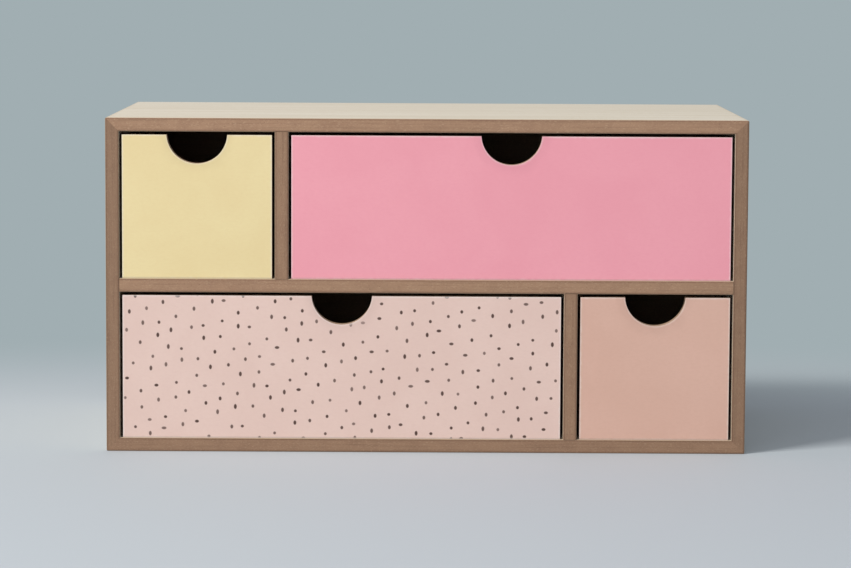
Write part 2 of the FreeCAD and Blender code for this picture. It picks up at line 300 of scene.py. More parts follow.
@dataclass(frozen=True)
class Surface:
    """How a surface shines and how rough it feels.

    Attributes:
        roughness: the roughness where the pattern of its sheen is low and where it is high.
        relief: how high the relief stands, in metres.
        specular: the strength of its mirror reflection, where a half leaves the IOR as it is.
        metallic: one for a metal, else nought.
    """

    roughness: tuple[float, float]
    relief: float
    specular: float = 0.5
    metallic: float = 0.0

    def finish(self, tree: bpy.types.NodeTree, colour: Socket, rub: Socket, height: Socket) -> None:
        """Ends a tree with a Principled surface that has relief and uneven sheen.

        Args:
            tree: the node tree.
            colour: the base colour.
            rub: the pattern of the sheen.
            height: the relief from 0 to 1.
        """
        low, high = SHEEN_RANGE
        sheen = add_node(tree, "MapRange", {"Value": rub, "From Min": low, "From Max": high,
                                            "To Min": self.roughness[0], "To Max": self.roughness[1]})
        bump = add_node(tree, "Bump", {"Strength": 1.0, "Distance": self.relief, "Height": height})
        shader = add_node(tree, "BsdfPrincipled", {
            "Base Color": colour, "Roughness": sheen.outputs[0], "Normal": bump.outputs[0],
            "Specular IOR Level": self.specular, "Metallic": self.metallic})
        add_node(tree, "OutputMaterial", {"Surface": shader.outputs[0]})


# --------------------------------------------------------------------------------------------------
# Boards and their finishes


@dataclass(frozen=True)
class Board:
    """A flat board of the frame.

    Attributes:
        node: its CAD node.
        grain: the axis that its grain runs along.
        thick: the axis of its thickness.
        log: where in the log it was cut, which sets its own pattern.
        tone: how light its core is, against the core's colours; in the case partly painted shade.
    """

    node: str
    grain: Axis
    thick: Axis
    log: float
    tone: float = 1.0

    def coordinates(self, tree: bpy.types.NodeTree) -> tuple[Socket, Socket, Socket]:
        """Adds the board's own coordinates to a tree.

        The distance to the nearest edge is the middle one of the three distances to the nearer end
        of the board's box, one for each axis, because on a face the least of them is nought.

        Args:
            tree: the node tree.

        Returns:
            The place as (along the grain, across it, through the thickness), the depth below the
            nearer of the two broad faces, and the distance to the nearest edge, in millimetres.
        """
        across = next(axis for axis in Axis if axis not in (self.grain, self.thick))
        low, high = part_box(self.node)
        _, parts = place_in_mm(tree)
        turned = add_node(tree, "CombineXYZ", {
            0: parts[self.grain.value], 1: parts[across.value], 2: parts[self.thick.value]})
        depths = []
        for place, start, end in zip(parts, low / MM, high / MM):
            above_low = add_node(tree, "Math", {0: place, 1: start}, operation="SUBTRACT")
            below_high = add_node(tree, "Math", {0: end, 1: place}, operation="SUBTRACT")
            nearer = add_node(tree, "Math", {0: above_low.outputs[0], 1: below_high.outputs[0]},
                              operation="MINIMUM")
            depths.append(nearer.outputs[0])
        lesser = add_node(tree, "Math", {0: depths[0], 1: depths[1]}, operation="MINIMUM")
        greater = add_node(tree, "Math", {0: depths[0], 1: depths[1]}, operation="MAXIMUM")
        capped = add_node(tree, "Math", {0: greater.outputs[0], 1: depths[2]}, operation="MINIMUM")
        edge = add_node(tree, "Math", {0: lesser.outputs[0], 1: capped.outputs[0]},
                        operation="MAXIMUM")
        return turned.outputs[0], depths[self.thick.value], edge.outputs[0]


@dataclass(frozen=True)
class FibreCore:
    """Medium-density fibreboard, cut and sanded: felted wood fibre with no grain.

    It is a dry, matt brown, speckled with paler and darker fibres half a millimetre to two
    millimetres long. Its skins are pressed a little denser and darker than its middle, and the saw
    and the sander leave faint streaks along the board. Hands and neighbouring boards burnish its
    edges darker, unevenly, and where it meets another board a hairline shows.

    Attributes:
        middle: the colour halfway between the skins.
        skin: the colour at the skins.
        fibre: the colour of the paler fibres.
        fleck: the colour of the darker fibres, and of the burnished edges.
        skin_depth: how deep the skins go, in millimetres.
        clouds: the slow drift towards the skin's colour.
        streaks: the streaks of the saw and the sander.
        fibres: the paler fibres.
        flecks: the darker fibres.
        burnished: the burnished band along an edge.
        hairline: the width of the dark line at an edge, in millimetres.
        hairline_strength: its largest share of the darker colour.
    """

    middle: str = "#A6846A"
    skin: str = "#91705A"
    fibre: str = "#BB9C80"
    fleck: str = "#715544"
    skin_depth: float = 1.6
    clouds: Clouds = Clouds((9.0, 9.0, 9.0), 0.0, (0.35, 0.75), 0.45, 3.0)
    streaks: Clouds = Clouds((45.0, 0.9, 0.9), 5.0, (0.45, 0.75), 0.3)
    fibres: Clouds = Clouds((1.3, 0.5, 0.5), 3.0, (0.5, 0.72), 0.6, 3.0, 0.4)
    flecks: Clouds = Clouds((0.6, 0.9, 0.6), 7.0, (0.58, 0.74), 0.55)
    burnished: Rim = Rim(1.2, 1.8, 0.36, 0.5)
    hairline: float = 0.14
    hairline_strength: float = 0.7

    def pattern(
        self, tree: bpy.types.NodeTree, place: Socket, depth: Socket, edge: Socket, board: Board,
    ) -> tuple[Socket, Socket]:
        """Adds the core's colour and relief.

        Args:
            tree: the node tree.
            place: the place in millimetres, along the board first.
            depth: the depth below the board's face in millimetres.
            edge: the distance to the board's nearest edge in millimetres.
            board: the board, for its tone and its own place in the noise.

        Returns:
            The colour and the height.
        """
        middle, skin, fibre, fleck = (
            linear(code, board.tone) for code in (self.middle, self.skin, self.fibre, self.fleck))
        colour = lay_over(tree, skin, middle, depth, 0.0, self.skin_depth)
        colour, clouds = self.clouds.tint(tree, colour, skin, place, board.log)
        colour, _ = self.streaks.tint(tree, colour, fleck, place, board.log)
        colour, fibres = self.fibres.tint(tree, colour, fibre, place, board.log)
        colour, _ = self.flecks.tint(tree, colour, fleck, place, board.log)
        colour = self.burnished.tint(tree, colour, fleck, edge, clouds)
        colour = lay_over(tree, colour, fleck, edge, self.hairline, 0.0, self.hairline_strength)
        return colour, fibres


@dataclass(frozen=True)
class WoodFace:
    """A sliced wood face: a slow drift of tone, fine lines along the grain, and short pores.

    Attributes:
        light: the colour between the lines.
        dark: the colour of the lines.
        pore: the colour of the pores.
        drift: the slow drift of tone.
        lines: the lines. Real ones are about 0.3 mm apart; these are coarser, so that they show.
        pores: the pores.
    """

    light: str
    dark: str
    pore: str
    drift: Clouds
    lines: Clouds
    pores: Clouds = Clouds((5.0, 0.6, 0.6), 23.0, (0.62, 0.72), 0.5, 1.0)

    def pattern(self, tree: bpy.types.NodeTree, place: Socket, log: float) -> tuple[Socket, Socket]:
        """Adds the face's colour and relief.

        Args:
            tree: the node tree.
            place: the place in millimetres, along the grain first.
            log: the board's own place in the noise.

        Returns:
            The colour and the height.
        """
        colour, _ = self.drift.tint(tree, linear(self.light), linear(self.dark), place, log)
        colour, lines = self.lines.tint(tree, colour, linear(self.dark), place, log)
        colour, pores = self.pores.tint(tree, colour, linear(self.pore), place, log)
        height = add_node(tree, "Math", {0: lines, 1: pores}, operation="SUBTRACT")
        return colour, height.outputs[0]


@dataclass(frozen=True)
class VeneeredFibreboard:
    """Fibreboard between two thin sheets of pale veneer, sanded and sealed with a matt varnish.

    The broad faces show the veneer, and the cut edges show the brown core between two thin lines,
    a little uneven where the sander has eased the arris. The veneer's own cut edge drinks in more
    varnish than its face does, so these lines are only a little paler than the core.

    Attributes:
        face: the veneer.
        cut: the colour of the veneer's cut edge.
        handled: the colour to which hands have dulled the veneer beside its edges.
        core: the fibreboard.
        sheet: the thickness of the veneer, in millimetres.
        line: the width over which the veneer gives way to the core, in millimetres.
        uneven: how far the sander moved the veneer's line, in millimetres.
        cut_depth: the depths below the face between which the cut edge starts, in millimetres.
        sanding: the pattern of the sander's and the hands' wear.
        dulled: the dulled band of the face along an edge.
        surface: the sheen and relief, of the varnished faces first and of the bare edges second.
    """

    face: WoodFace = WoodFace("#E4DACA", "#D3C5AE", "#BCA98D",
                              Clouds((150.0, 11.0, 11.0), 0.0, (0.3, 0.7), 0.46, 2.0, 0.8),
                              Clouds((60.0, 1.3, 1.3), 11.0, (0.35, 0.7), 0.46, 3.0, 0.2))
    cut: str = "#AE957A"
    handled: str = "#B49C80"
    core: FibreCore = FibreCore()
    sheet: float = 0.2
    line: float = 0.1
    uneven: float = 0.16
    cut_depth: tuple[float, float] = (0.01, 0.04)
    sanding: Clouds = Clouds((7.0, 7.0, 7.0), 41.0)
    dulled: Rim = Rim(2.4, 3.36, 0.96, 0.4)
    surface: Surface = Surface((0.48, 0.88), 0.05 * MM, 0.35)

    def dress(self, board: Board) -> None:
        """Gives a board's node this finish.

        Args:
            board: the board.
        """
        material, tree = new_material(f"veneered_fibreboard_{board.node}")
        place, depth, edge = board.coordinates(tree)
        wood, wood_height = self.face.pattern(tree, place, board.log)
        wood = lay_over(tree, wood, linear(self.cut, board.tone), depth, *self.cut_depth)
        fibre, fibre_height = self.core.pattern(tree, place, depth, edge, board)
        sanding = self.sanding.pattern(tree, place, board.log)
        wood = self.dulled.tint(tree, wood, linear(self.handled), edge, sanding)
        worn_depth = add_node(tree, "Math", {0: sanding, 1: self.uneven, 2: depth},
                              operation="MULTIPLY_ADD").outputs[0]
        start = self.sheet + self.uneven / 2 - self.line / 2
        into_core = add_node(tree, "MapRange", {"Value": worn_depth, "From Min": start,
                                                "From Max": start + self.line}).outputs[0]
        colour = lay_over(tree, wood, fibre, into_core, 0.0, 1.0)
        height = add_node(tree, "Mix", {0: into_core, 2: wood_height, 3: fibre_height})
        sheen = add_node(tree, "MapRange", {"Value": into_core, "To Min": SHEEN_RANGE[0],
                                            "To Max": SHEEN_RANGE[1]})
        self.surface.finish(tree, colour, sheen.outputs[0], height.outputs[0])
        put_on(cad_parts[board.node], material)


@dataclass(frozen=True)
class SandedFibreboard:
    """Bare fibreboard, fine sanded: matt and brown on its faces and its edges alike.

    Attributes:
        core: the fibreboard.
        rub: the pattern of the sheen.
        surface: the sheen and relief.
    """

    core: FibreCore = FibreCore("#AE927B", "#A58A73", "#C3AA92", "#7C6352")
    rub: Clouds = Clouds((14.0, 14.0, 14.0), 31.0)
    surface: Surface = Surface((0.77, 0.86), 0.04 * MM, 0.3)

    def dress(self, board: Board) -> None:
        """Gives a board's node this finish.

        Args:
            board: the board.
        """
        material, tree = new_material(f"sanded_fibreboard_{board.node}")
        place, depth, edge = board.coordinates(tree)
        colour, height = self.core.pattern(tree, place, depth, edge, board)
        self.surface.finish(tree, colour, self.rub.pattern(tree, place, board.log), height)
        put_on(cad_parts[board.node], material)


@dataclass(frozen=True)
class ThinPlywood:
    """Three-ply birch, peeled from the log: broad soft figure, and a darker middle ply on its edges.

    Attributes:
        face: the outer plies.
        middle_ply: the colour of the middle ply.
        ply: the thickness of an outer ply, in millimetres.
        glue_line: the width over which one ply gives way to the next, in millimetres.
        rub: the pattern of the sheen.
        surface: the sheen and relief.
    """

    face: WoodFace = WoodFace("#D8C5A6", "#C3A981", "#A88B66",
                              Clouds((110.0, 26.0, 26.0), 0.0, (0.3, 0.7), 0.5, 2.0, 0.8),
                              Clouds((75.0, 2.2, 2.2), 11.0, (0.35, 0.7), 0.5, 3.0, 0.2))
    middle_ply: str = "#A8845E"
    ply: float = 0.8
    glue_line: float = 0.1
    rub: Clouds = Clouds((30.0, 12.0, 12.0), 31.0)
    surface: Surface = Surface((0.55, 0.67), 0.05 * MM, 0.35)

    def dress(self, board: Board) -> None:
        """Gives a board's node this finish.

        Args:
            board: the board.
        """
        material, tree = new_material(f"birch_plywood_{board.node}")
        place, depth, _ = board.coordinates(tree)
        wood, height = self.face.pattern(tree, place, board.log)
        colour = lay_over(tree, wood, linear(self.middle_ply), depth, self.ply - self.glue_line / 2,
                          self.ply + self.glue_line / 2)
        self.surface.finish(tree, colour, self.rub.pattern(tree, place, board.log), height)
        put_on(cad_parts[board.node], material)


@dataclass(frozen=True)
class DrawnSteel:
    """Bright drawn steel wire: grey metal, slightly dulled, with fine scratches on its cut heads.

    Attributes:
        colour: the bright metal.
        dull: the dulled metal.
        scratches: the scratches.
        surface: the sheen and relief.
    """

    colour: str = "#B4B3AF"
    dull: str = "#8E8C88"
    scratches: Clouds = Clouds((1.2, 0.2, 0.2), 0.0, (0.4, 0.7), 1.0, 3.0)
    surface: Surface = Surface((0.34, 0.54), 0.01 * MM, metallic=1.0)

    def dress(self, pins: bpy.types.Object) -> None:
        """Gives a piece of pins this finish.

        Args:
            pins: the piece.
        """
        material, tree = new_material(f"drawn_steel_{pins.name}")
        place, _ = place_in_mm(tree)
        colour, scratches = self.scratches.tint(tree, linear(self.colour), linear(self.dull), place)
        self.surface.finish(tree, colour, scratches, scratches)
        put_on(pins, material)


# --------------------------------------------------------------------------------------------------
# Facing paper


def transformed(tree: bpy.types.NodeTree, flat: Socket, matrix: np.ndarray) -> Socket:
    """Adds the product of a two by two matrix and a flat vector.

    Args:
        tree: the node tree.
        flat: the vector, of which only the first two parts count.
        matrix: the matrix.

    Returns:
        The product, as a vector whose third part is nought.
    """
    parts = [add_node(tree, "VectorMath", {0: flat, 1: (*row, 0.0)}, operation="DOT_PRODUCT")
             for row in matrix.tolist()]
    joined = add_node(tree, "CombineXYZ", {0: parts[0].outputs["Value"], 1: parts[1].outputs["Value"]})
    return joined.outputs[0]


@dataclass(frozen=True)
class Specks:
    """Small printed marks, strewn evenly: dots and short upright or level dashes.

    The marks stand near the points of a triangular lattice, each moved a little at random.

    Attributes:
        spacing: the distance between the lattice's points, in millimetres.
        slant: the turn of the lattice's rows from level, in degrees.
        scatter: how far the marks are moved, as a share of the spacing.
        width: a mark's width, in millimetres.
        longest: the longest mark, in millimetres.
        level_share: the share of the marks that lie level.
        faintest: the ink on the faintest mark, as a share of the ink on the strongest.
        soft: where the ink starts to fade and where it ends, as shares of a mark's half size.
        ink: the colour of the strongest marks.
    """

    spacing: float = 9.2
    slant: float = 17.0
    scatter: float = 0.42
    width: float = 1.55
    longest: float = 2.7
    level_share: float = 0.28
    faintest: float = 0.7
    soft: tuple[float, float] = (0.7, 1.25)
    ink: str = "#523B33"

    def print_on(self, tree: bpy.types.NodeTree, place: Socket, paper: Socket) -> Socket:
        """Prints the marks on a paper colour.

        Each mark stands at the middle point of a Voronoi cell, worked out in the lattice's own
        coordinates. The cell's random colour gives the mark's direction (red), its length (green)
        and how much ink it took (blue). The ink fades by a point's distance from the middle, with
        each part divided by the mark's half size that way, so that one is the mark's outline.

        Args:
            tree: the node tree.
            place: the place in millimetres, across the front first and up it second.
            paper: the colour without the marks.

        Returns:
            The colour with the marks.
        """
        rows = math.radians(self.slant) + np.array([0.0, math.pi / 3])
        lattice = self.spacing * np.stack([np.cos(rows), np.sin(rows)])
        cells = transformed(tree, place, np.linalg.inv(lattice))
        voronoi = add_node(tree, "TexVoronoi", {"Vector": cells, "Scale": 1.0,
                                                "Randomness": self.scatter}, voronoi_dimensions="2D")
        away = add_node(tree, "VectorMath", {0: cells, 1: voronoi.outputs["Position"]},
                        operation="SUBTRACT")
        away = transformed(tree, away.outputs[0], lattice)
        chance = add_node(tree, "SeparateColor", {0: voronoi.outputs["Color"]}).outputs
        across, up = add_node(tree, "SeparateXYZ", {0: away}).outputs[:2]
        level = add_node(tree, "Math", {0: chance[0], 1: self.level_share}, operation="LESS_THAN")
        along = add_node(tree, "Mix", {0: level.outputs[0], 2: up, 3: across})
        beside = add_node(tree, "Mix", {0: level.outputs[0], 2: across, 3: up})
        half_long = add_node(tree, "MapRange", {"Value": chance[1], "To Min": self.width / 2,
                                                "To Max": self.longest / 2})
        long_part = add_node(tree, "Math", {0: along.outputs[0], 1: half_long.outputs[0]},
                             operation="DIVIDE")
        wide_part = add_node(tree, "Math", {0: beside.outputs[0], 1: self.width / 2},
                             operation="DIVIDE")
        joined = add_node(tree, "CombineXYZ", {0: long_part.outputs[0], 1: wide_part.outputs[0]})
        reach = add_node(tree, "VectorMath", {0: joined.outputs[0]}, operation="LENGTH")
        took = add_node(tree, "MapRange", {"Value": chance[2], "To Min": self.faintest})
        inked = add_node(tree, "MapRange", {
            "Value": reach.outputs["Value"], "From Min": self.soft[0], "From Max": self.soft[1],
            "To Min": took.outputs[0], "To Max": 0.0}, interpolation_type="SMOOTHSTEP")
        return lay_over(tree, paper, linear(self.ink), inked.outputs[0], 0.0, 1.0)


@dataclass(frozen=True)
class FacingPaper:
    """Coloured facing paper, calendered and matt: an even colour with soft clouds and fine fibres.

    Its cut edge shows the paler, undyed middle of the sheet, and the colour is rubbed thin just
    inside the outline. A thin darker band along its lower rim is painted shade, where the front
    meets the board below, and stands also for soil from sliding over it. Fingers have dulled its
    colour and polished it a little round the notch.

    Attributes:
        name: its colour's plain name.
        colour: the paper's colour.
        cloud: the colour of the denser places in the sheet.
        edge: the colour of the cut edge.
        slot: the name of its material slot; not used.
        specks: the marks printed on it, if any.
        clouds: the denser places in the sheet.
        fibres: its fibres. Real ones are finer; these are as fine as shows.
        scuffs: the pattern of the rubbed rim.
        rubbed: the rubbed rim.
        lower_rim_shade: where the lower rim's painted shade starts and shows fully, mm above the base.
        lower_rim_shade_tone: the shade's lightness against the cloud colour, and its largest share.
        smudges: the pattern of the fingers' touch.
        handled: how far the smudges move the border of the touch, in millimetres.
        reach: the distance from the notch plus that move where the touch starts to show and where
            it shows fully, in millimetres.
        touch: how light the touched paper is against the cloud colour, and its largest share.
        polish: how much the fingers smooth it, as a share of the sheen's pattern.
        dye: the depth of the dye at the cut edge, where it fades, in millimetres.
        surface: the sheen and relief.
    """

    name: str
    colour: str
    cloud: str
    edge: str
    slot: str
    specks: Specks | None = None
    clouds: Clouds = Clouds((38.0, 38.0, 38.0), 1.0, (0.3, 0.7), 0.55, 3.0, 0.5)
    fibres: Clouds = Clouds((2.4, 1.1, 1.1), 5.0, (0.35, 0.75), 0.35, 3.0, 0.6)
    scuffs: Clouds = Clouds((3.0, 3.0, 3.0), 9.0, detail=3.0)
    rubbed: Rim = Rim(-1.3, 1.3 / 3, -0.65, 0.5)
    # Painted shade: a thin darker band along the lower rim, where the front meets the board below.
    lower_rim_shade: tuple[float, float] = (1.1, 0.1)
    lower_rim_shade_tone: tuple[float, float] = (0.45, 0.55)
    smudges: Clouds = Clouds((11.0, 11.0, 11.0), 13.0, detail=3.0, distortion=0.5)
    handled: float = 9.0
    reach: tuple[float, float] = (12.6, 2.7)
    touch: tuple[float, float] = (0.86, 0.4)
    polish: float = 0.3
    dye: tuple[float, float] = (0.08, 0.14)
    surface: Surface = Surface((0.52, 0.66), 0.02 * MM, 0.4)

    def material(self, sheet: "NotchedSheet") -> bpy.types.Material:
        """Makes the paper's material.

        Args:
            sheet: the outline of the sheet that it goes on.

        Returns:
            The material.
        """
        material, tree = new_material(f"facing_paper_{self.name}")
        _, (across, back, up) = place_in_mm(tree)
        flat = add_node(tree, "CombineXYZ", {0: across, 1: up}).outputs[0]
        cloud, edge = linear(self.cloud), linear(self.edge)
        colour, _ = self.clouds.tint(tree, linear(self.colour), cloud, flat)
        colour, fibres = self.fibres.tint(tree, colour, cloud, flat)
        if self.specks:
            colour = self.specks.print_on(tree, flat, colour)
        inside, from_notch = sheet.distances(tree, flat)
        colour = self.rubbed.tint(tree, colour, edge, inside, self.scuffs.pattern(tree, flat))
        # Painted shade along the lower rim, where the front meets the board below; it stands also for
        # soil.
        above = add_node(tree, "Math", {0: up, 1: sheet.low.z / MM}, operation="SUBTRACT").outputs[0]
        colour = lay_over(tree, colour, linear(self.cloud, self.lower_rim_shade_tone[0]), above, *self.lower_rim_shade,
                          self.lower_rim_shade_tone[1])
        reached = add_node(tree, "Math", {
            0: self.smudges.pattern(tree, flat), 1: self.handled, 2: from_notch},
            operation="MULTIPLY_ADD")
        touched = add_node(tree, "MapRange", {
            "Value": reached.outputs[0], "From Min": self.reach[0], "From Max": self.reach[1]},
            interpolation_type="SMOOTHSTEP").outputs[0]
        colour = lay_over(tree, colour, linear(self.cloud, self.touch[0]), touched, 0.0, 1.0,
                          self.touch[1])
        rub = add_node(tree, "Math", {0: touched, 1: -self.polish, 2: fibres},
                       operation="MULTIPLY_ADD")
        behind = add_node(tree, "Math", {0: back, 1: sheet.low.y / MM}, operation="SUBTRACT")
        colour = lay_over(tree, colour, edge, behind.outputs[0], *self.dye)
        self.surface.finish(tree, colour, rub.outputs[0], fibres)
        return material


@dataclass(frozen=True)
class NotchedSheet:
    """The outline of a notched sheet, read from its CAD node.

    The notch is part of a circle whose middle stands a little above the sheet's top edge. With a
    mouth of half width m and a depth d, the middle is h = (m² - d²) / 2d above the edge, and the
    radius is d + h.

    Attributes:
        low: the lowest corner of the sheet's box.
        high: its highest corner.
        radius: the notch's radius, in metres.
        rise: how far the circle's middle stands above the top edge, in metres.
    """

    low: Vector
    high: Vector
    radius: float
    rise: float

    @classmethod
    def of_node(cls, node: str) -> "NotchedSheet":
        """Reads the outline from a CAD node's points, of which those off its edges are the notch's.

        Args:
            node: the CAD node.

        Returns:
            The outline.
        """
        low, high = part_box(node)
        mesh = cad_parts[node].data
        points = np.zeros(len(mesh.vertices) * 3)
        mesh.vertices.foreach_get("co", points)
        points = points.reshape(-1, 3)
        middle = (low.x + high.x) / 2
        inner = np.abs(points[:, 0] - middle) < (high.x - low.x) / 2 - OFF_THE_EDGE
        arc = points[inner & (points[:, 2] > low.z + OFF_THE_EDGE)]
        half_mouth = np.abs(arc[:, 0] - middle).max()
        depth = high.z - arc[:, 2].min()
        rise = (half_mouth ** 2 - depth ** 2) / (2 * depth)
        return cls(low, high, depth + rise, rise)

    def distances(self, tree: bpy.types.NodeTree, flat: Socket) -> tuple[Socket, Socket]:
        """Adds how far inside the outline a point is, and how far from the notch, in millimetres.

        The distance from the notch is that to its circle's middle less its radius. The distance
        inside the outline is the least of that and those to the four straight edges.

        Args:
            tree: the node tree.
            flat: the place in millimetres, across the front first and up it second.

        Returns:
            The distance inside the outline and the distance from the notch.
        """
        across, up, _ = add_node(tree, "SeparateXYZ", {0: flat}).outputs
        middle = ((self.low.x + self.high.x) / 2 / MM, (self.high.z + self.rise) / MM, 0.0)
        from_middle = add_node(tree, "VectorMath", {0: flat, 1: middle}, operation="DISTANCE")
        from_notch = add_node(tree, "Math", {0: from_middle.outputs["Value"], 1: self.radius / MM},
                              operation="SUBTRACT").outputs[0]
        inside = from_notch
        for start, end in ((across, self.low.x / MM), (self.high.x / MM, across),
                           (up, self.low.z / MM), (self.high.z / MM, up)):
            straight = add_node(tree, "Math", {0: start, 1: end}, operation="SUBTRACT").outputs[0]
            inside = add_node(tree, "Math", {0: inside, 1: straight}, operation="MINIMUM").outputs[0]
        return inside, from_notch

    def ring(self, inset: float, y: float, steps: int = 40) -> np.ndarray:
        """The outline moved inwards by an inset, at one place along Y.

        The straight edges move in by the inset, and the notch's radius grows by it, so its arc
        runs between the angles whose sine is (rise + inset) / (radius + inset).

        Args:
            inset: how far inside the outline the ring runs, in metres.
            y: the place of the ring along Y.
            steps: the number of points on the notch.

        Returns:
            The ring's points, one row each.
        """
        radius = self.radius + inset
        start = math.asin((self.rise + inset) / radius)
        angle = np.linspace(-start, start - math.pi, steps)
        middle = (self.low.x + self.high.x) / 2
        arc_x = middle + radius * np.cos(angle)
        arc_z = self.high.z + self.rise + radius * np.sin(angle)
        left, right = self.low.x + inset, self.high.x - inset
        bottom, top = self.low.z + inset, self.high.z - inset
        xs = np.concatenate([[left, right, right], arc_x, [left]])
        zs = np.concatenate([[bottom, bottom, top], arc_z, [top]])
        return np.stack([xs, np.full_like(xs, y), zs], axis=1)

    def build(self, name: str, roll: float) -> bpy.types.Object:
        """Builds the sheet: its edge is a quarter circle carried round the outline.

        Args:
            name: the object's name.
            roll: the radius to which the front edge is rolled, in metres.

        Returns:
            The sheet as a closed mesh.
        """
        turn = np.linspace(0, math.pi / 2, ROLL_STEPS)
        insets = np.concatenate([[0.0], roll * (1 - np.cos(turn))])
        places = np.concatenate([[self.high.y], self.low.y + roll * (1 - np.sin(turn))])
        rings = np.stack([self.ring(inset, y) for inset, y in zip(insets, places)])
        count = rings.shape[1]
        here = np.arange(count)
        following = (here + 1) % count
        start = np.arange(len(rings) - 1)[:, None] * count
        walls = np.stack([start + here, start + following, start + count + following,
                          start + count + here], axis=-1).reshape(-1, 4)
        caps = [here.tolist(), (here + (len(rings) - 1) * count).tolist()]
        return new_piece(name, rings.reshape(-1, 3), walls.tolist() + caps)


@dataclass(frozen=True)
class BackPins:
    """The pins of the back panel: pointed wire pins whose crowned heads are driven just below the face.

    A pin is a profile carried round its own line along Y. From the tip, the profile widens along the
    point, runs up the shank, steps out under the head, and closes over it in an arc, where the
    distance from the line is head_radius * cos(a) and the height of the crown is crown * sin(a).

    Attributes:
        node: the CAD node, from which the pins' places and their depth are read.
        shank_radius: the radius of the wire, in metres.
        head_radius: the radius of the head, in metres.
        head_thick: the depth of the head's underside below the panel's face, in metres.
        crown: the height of the crown above the head's rim, in metres.
        sunk: the depth of the crown's top below the panel's face, in metres.
        point: the length of the pointed end, in metres.
        spokes: the number of points round a pin.
        crown_steps: the number of rings on the crown.
        sharp: the angle in degrees past which an edge stays sharp.
    """

    node: str = "case_back_pins"
    shank_radius: float = 0.5 * MM
    head_radius: float = 1.08 * MM
    head_thick: float = 0.4 * MM
    crown: float = 0.24 * MM
    sunk: float = 0.05 * MM
    point: float = 1.5 * MM
    spokes: int = 20
    crown_steps: int = 5
    sharp: float = 40.0

    def places(self) -> np.ndarray:
        """Reads the pins' places from the groups of points on their heads.

        Returns:
            The places as (x, z) rows.
        """
        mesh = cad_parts[self.node].data
        points = np.zeros(len(mesh.vertices) * 3)
        mesh.vertices.foreach_get("co", points)
        points = points.reshape(-1, 3)
        heads = points[points[:, 1] > points[:, 1].max() - self.head_thick / 2][:, [0, 2]]
        places = []
        while len(heads):
            # Points less than three radii apart are on one head, because the pins stand far apart.
            same = np.linalg.norm(heads - heads[0], axis=1) < 3 * self.head_radius
            places.append((heads[same].min(axis=0) + heads[same].max(axis=0)) / 2)
            heads = heads[~same]
        return np.array(places)

    def profile(self) -> np.ndarray:
        """Works out the profile of one pin from its tip to its crown.

        Returns:
            The profile as (radius, y) rows.
        """
        low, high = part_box(self.node)
        under = high.y - self.head_thick
        rim = high.y - self.sunk - self.crown
        turn = np.linspace(0, math.pi / 2, self.crown_steps, endpoint=False)
        arc = np.stack([self.head_radius * np.cos(turn), rim + self.crown * np.sin(turn)], axis=1)
        shank = [(0.0, low.y), (self.shank_radius, low.y + self.point), (self.shank_radius, under),
                 (self.head_radius, under)]
        return np.concatenate([shank, arc, [(0.0, high.y - self.sunk)]])

    def build(self) -> bpy.types.Object:
        """Builds all the pins as one piece, closed at the tips and the crowns.

        A pin's points are its tip, the top of its crown, and the rings between them.

        Returns:
            The piece.
        """
        profile = self.profile()
        rings, spokes = profile[1:-1], self.spokes
        angle = np.linspace(0, 2 * math.pi, spokes, endpoint=False)
        pin = np.stack([rings[:, :1] * np.cos(angle), np.repeat(rings[:, 1:], spokes, axis=1),
                        rings[:, :1] * np.sin(angle)], axis=-1).reshape(-1, 3)
        ends = np.array([(0.0, profile[0, 1], 0.0), (0.0, profile[-1, 1], 0.0)])
        pin = np.concatenate([ends, pin])
        here = np.arange(spokes)
        following = (here + 1) % spokes
        start = len(ends) + np.arange(len(rings) - 1)[:, None] * spokes
        walls = np.stack([start + here, start + following, start + spokes + following,
                          start + spokes + here], axis=-1).reshape(-1, 4)
        first = len(ends)
        last = first + (len(rings) - 1) * spokes
        tip = np.stack([np.zeros(spokes, int), first + following, first + here], axis=1)
        crown = np.stack([np.ones(spokes, int), last + here, last + following], axis=1)
        points, faces = [], []
        for number, (x, z) in enumerate(self.places()):
            points.append(pin + (x, 0.0, z))
            faces += [(face + number * len(pin)).tolist() for part in (walls, tip, crown) for face in part]
        piece = new_piece("case_back_crowned_pins", np.concatenate(points), faces)
        piece.data.polygons.foreach_set("use_smooth", [True] * len(piece.data.polygons))
        piece.data.set_sharp_from_angle(angle=math.radians(self.sharp))
        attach(piece, "case")
        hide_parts(self.node)
        return piece


# --------------------------------------------------------------------------------------------------
# The organizer's sub-assemblies


@dataclass(frozen=True)
class Case:
    """The fixed case: seven veneered boards, the plywood back panel and its pins.

    Attributes:
        board: the finish of the boards.
        panel: the finish of the back panel.
        steel: the finish of the pins.
        pins: the pins.
        level_logs: the place in the log of the first level board, and the step to the next.
        upright_logs: the same for the upright boards.
        panel_log: the place in the log of the back panel.
    """

    board: VeneeredFibreboard = VeneeredFibreboard()
    panel: ThinPlywood = ThinPlywood()
    steel: DrawnSteel = DrawnSteel()
    pins: BackPins = BackPins()
    level_logs: tuple[float, float] = (2.3, 5.7)
    upright_logs: tuple[float, float] = (30.1, 6.1)
    panel_log: float = 71.3

    def dress(self) -> None:
        """Gives every node of the case its finish, and builds the pins with their crowned heads."""
        # How light each board's core is, against the core's own colours. The bottom, the sides and the
        # dividers are darker partly as painted shade: near the floor, and beside the dark gaps round
        # the drawers.
        level = {"case_top": 1.0, "case_bottom": 0.8, "case_shelf": 0.95}
        upright = {"case_left_side": 0.74, "case_right_side": 0.72, "case_upper_divider": 0.82,
                   "case_lower_divider": 0.8}
        for tones, grain, thick, (first, step) in ((level, Axis.X, Axis.Z, self.level_logs),
                                                   (upright, Axis.Z, Axis.X, self.upright_logs)):
            for number, (node, tone) in enumerate(tones.items()):
                self.board.dress(Board(node, grain, thick, first + step * number, tone))
        self.panel.dress(Board("case_back_panel", Axis.X, Axis.Y, self.panel_log))
        self.steel.dress(self.pins.build())
        for node in (*level, *upright, "case_back_panel", self.pins.node):
            LOG.info("case: %s", node)


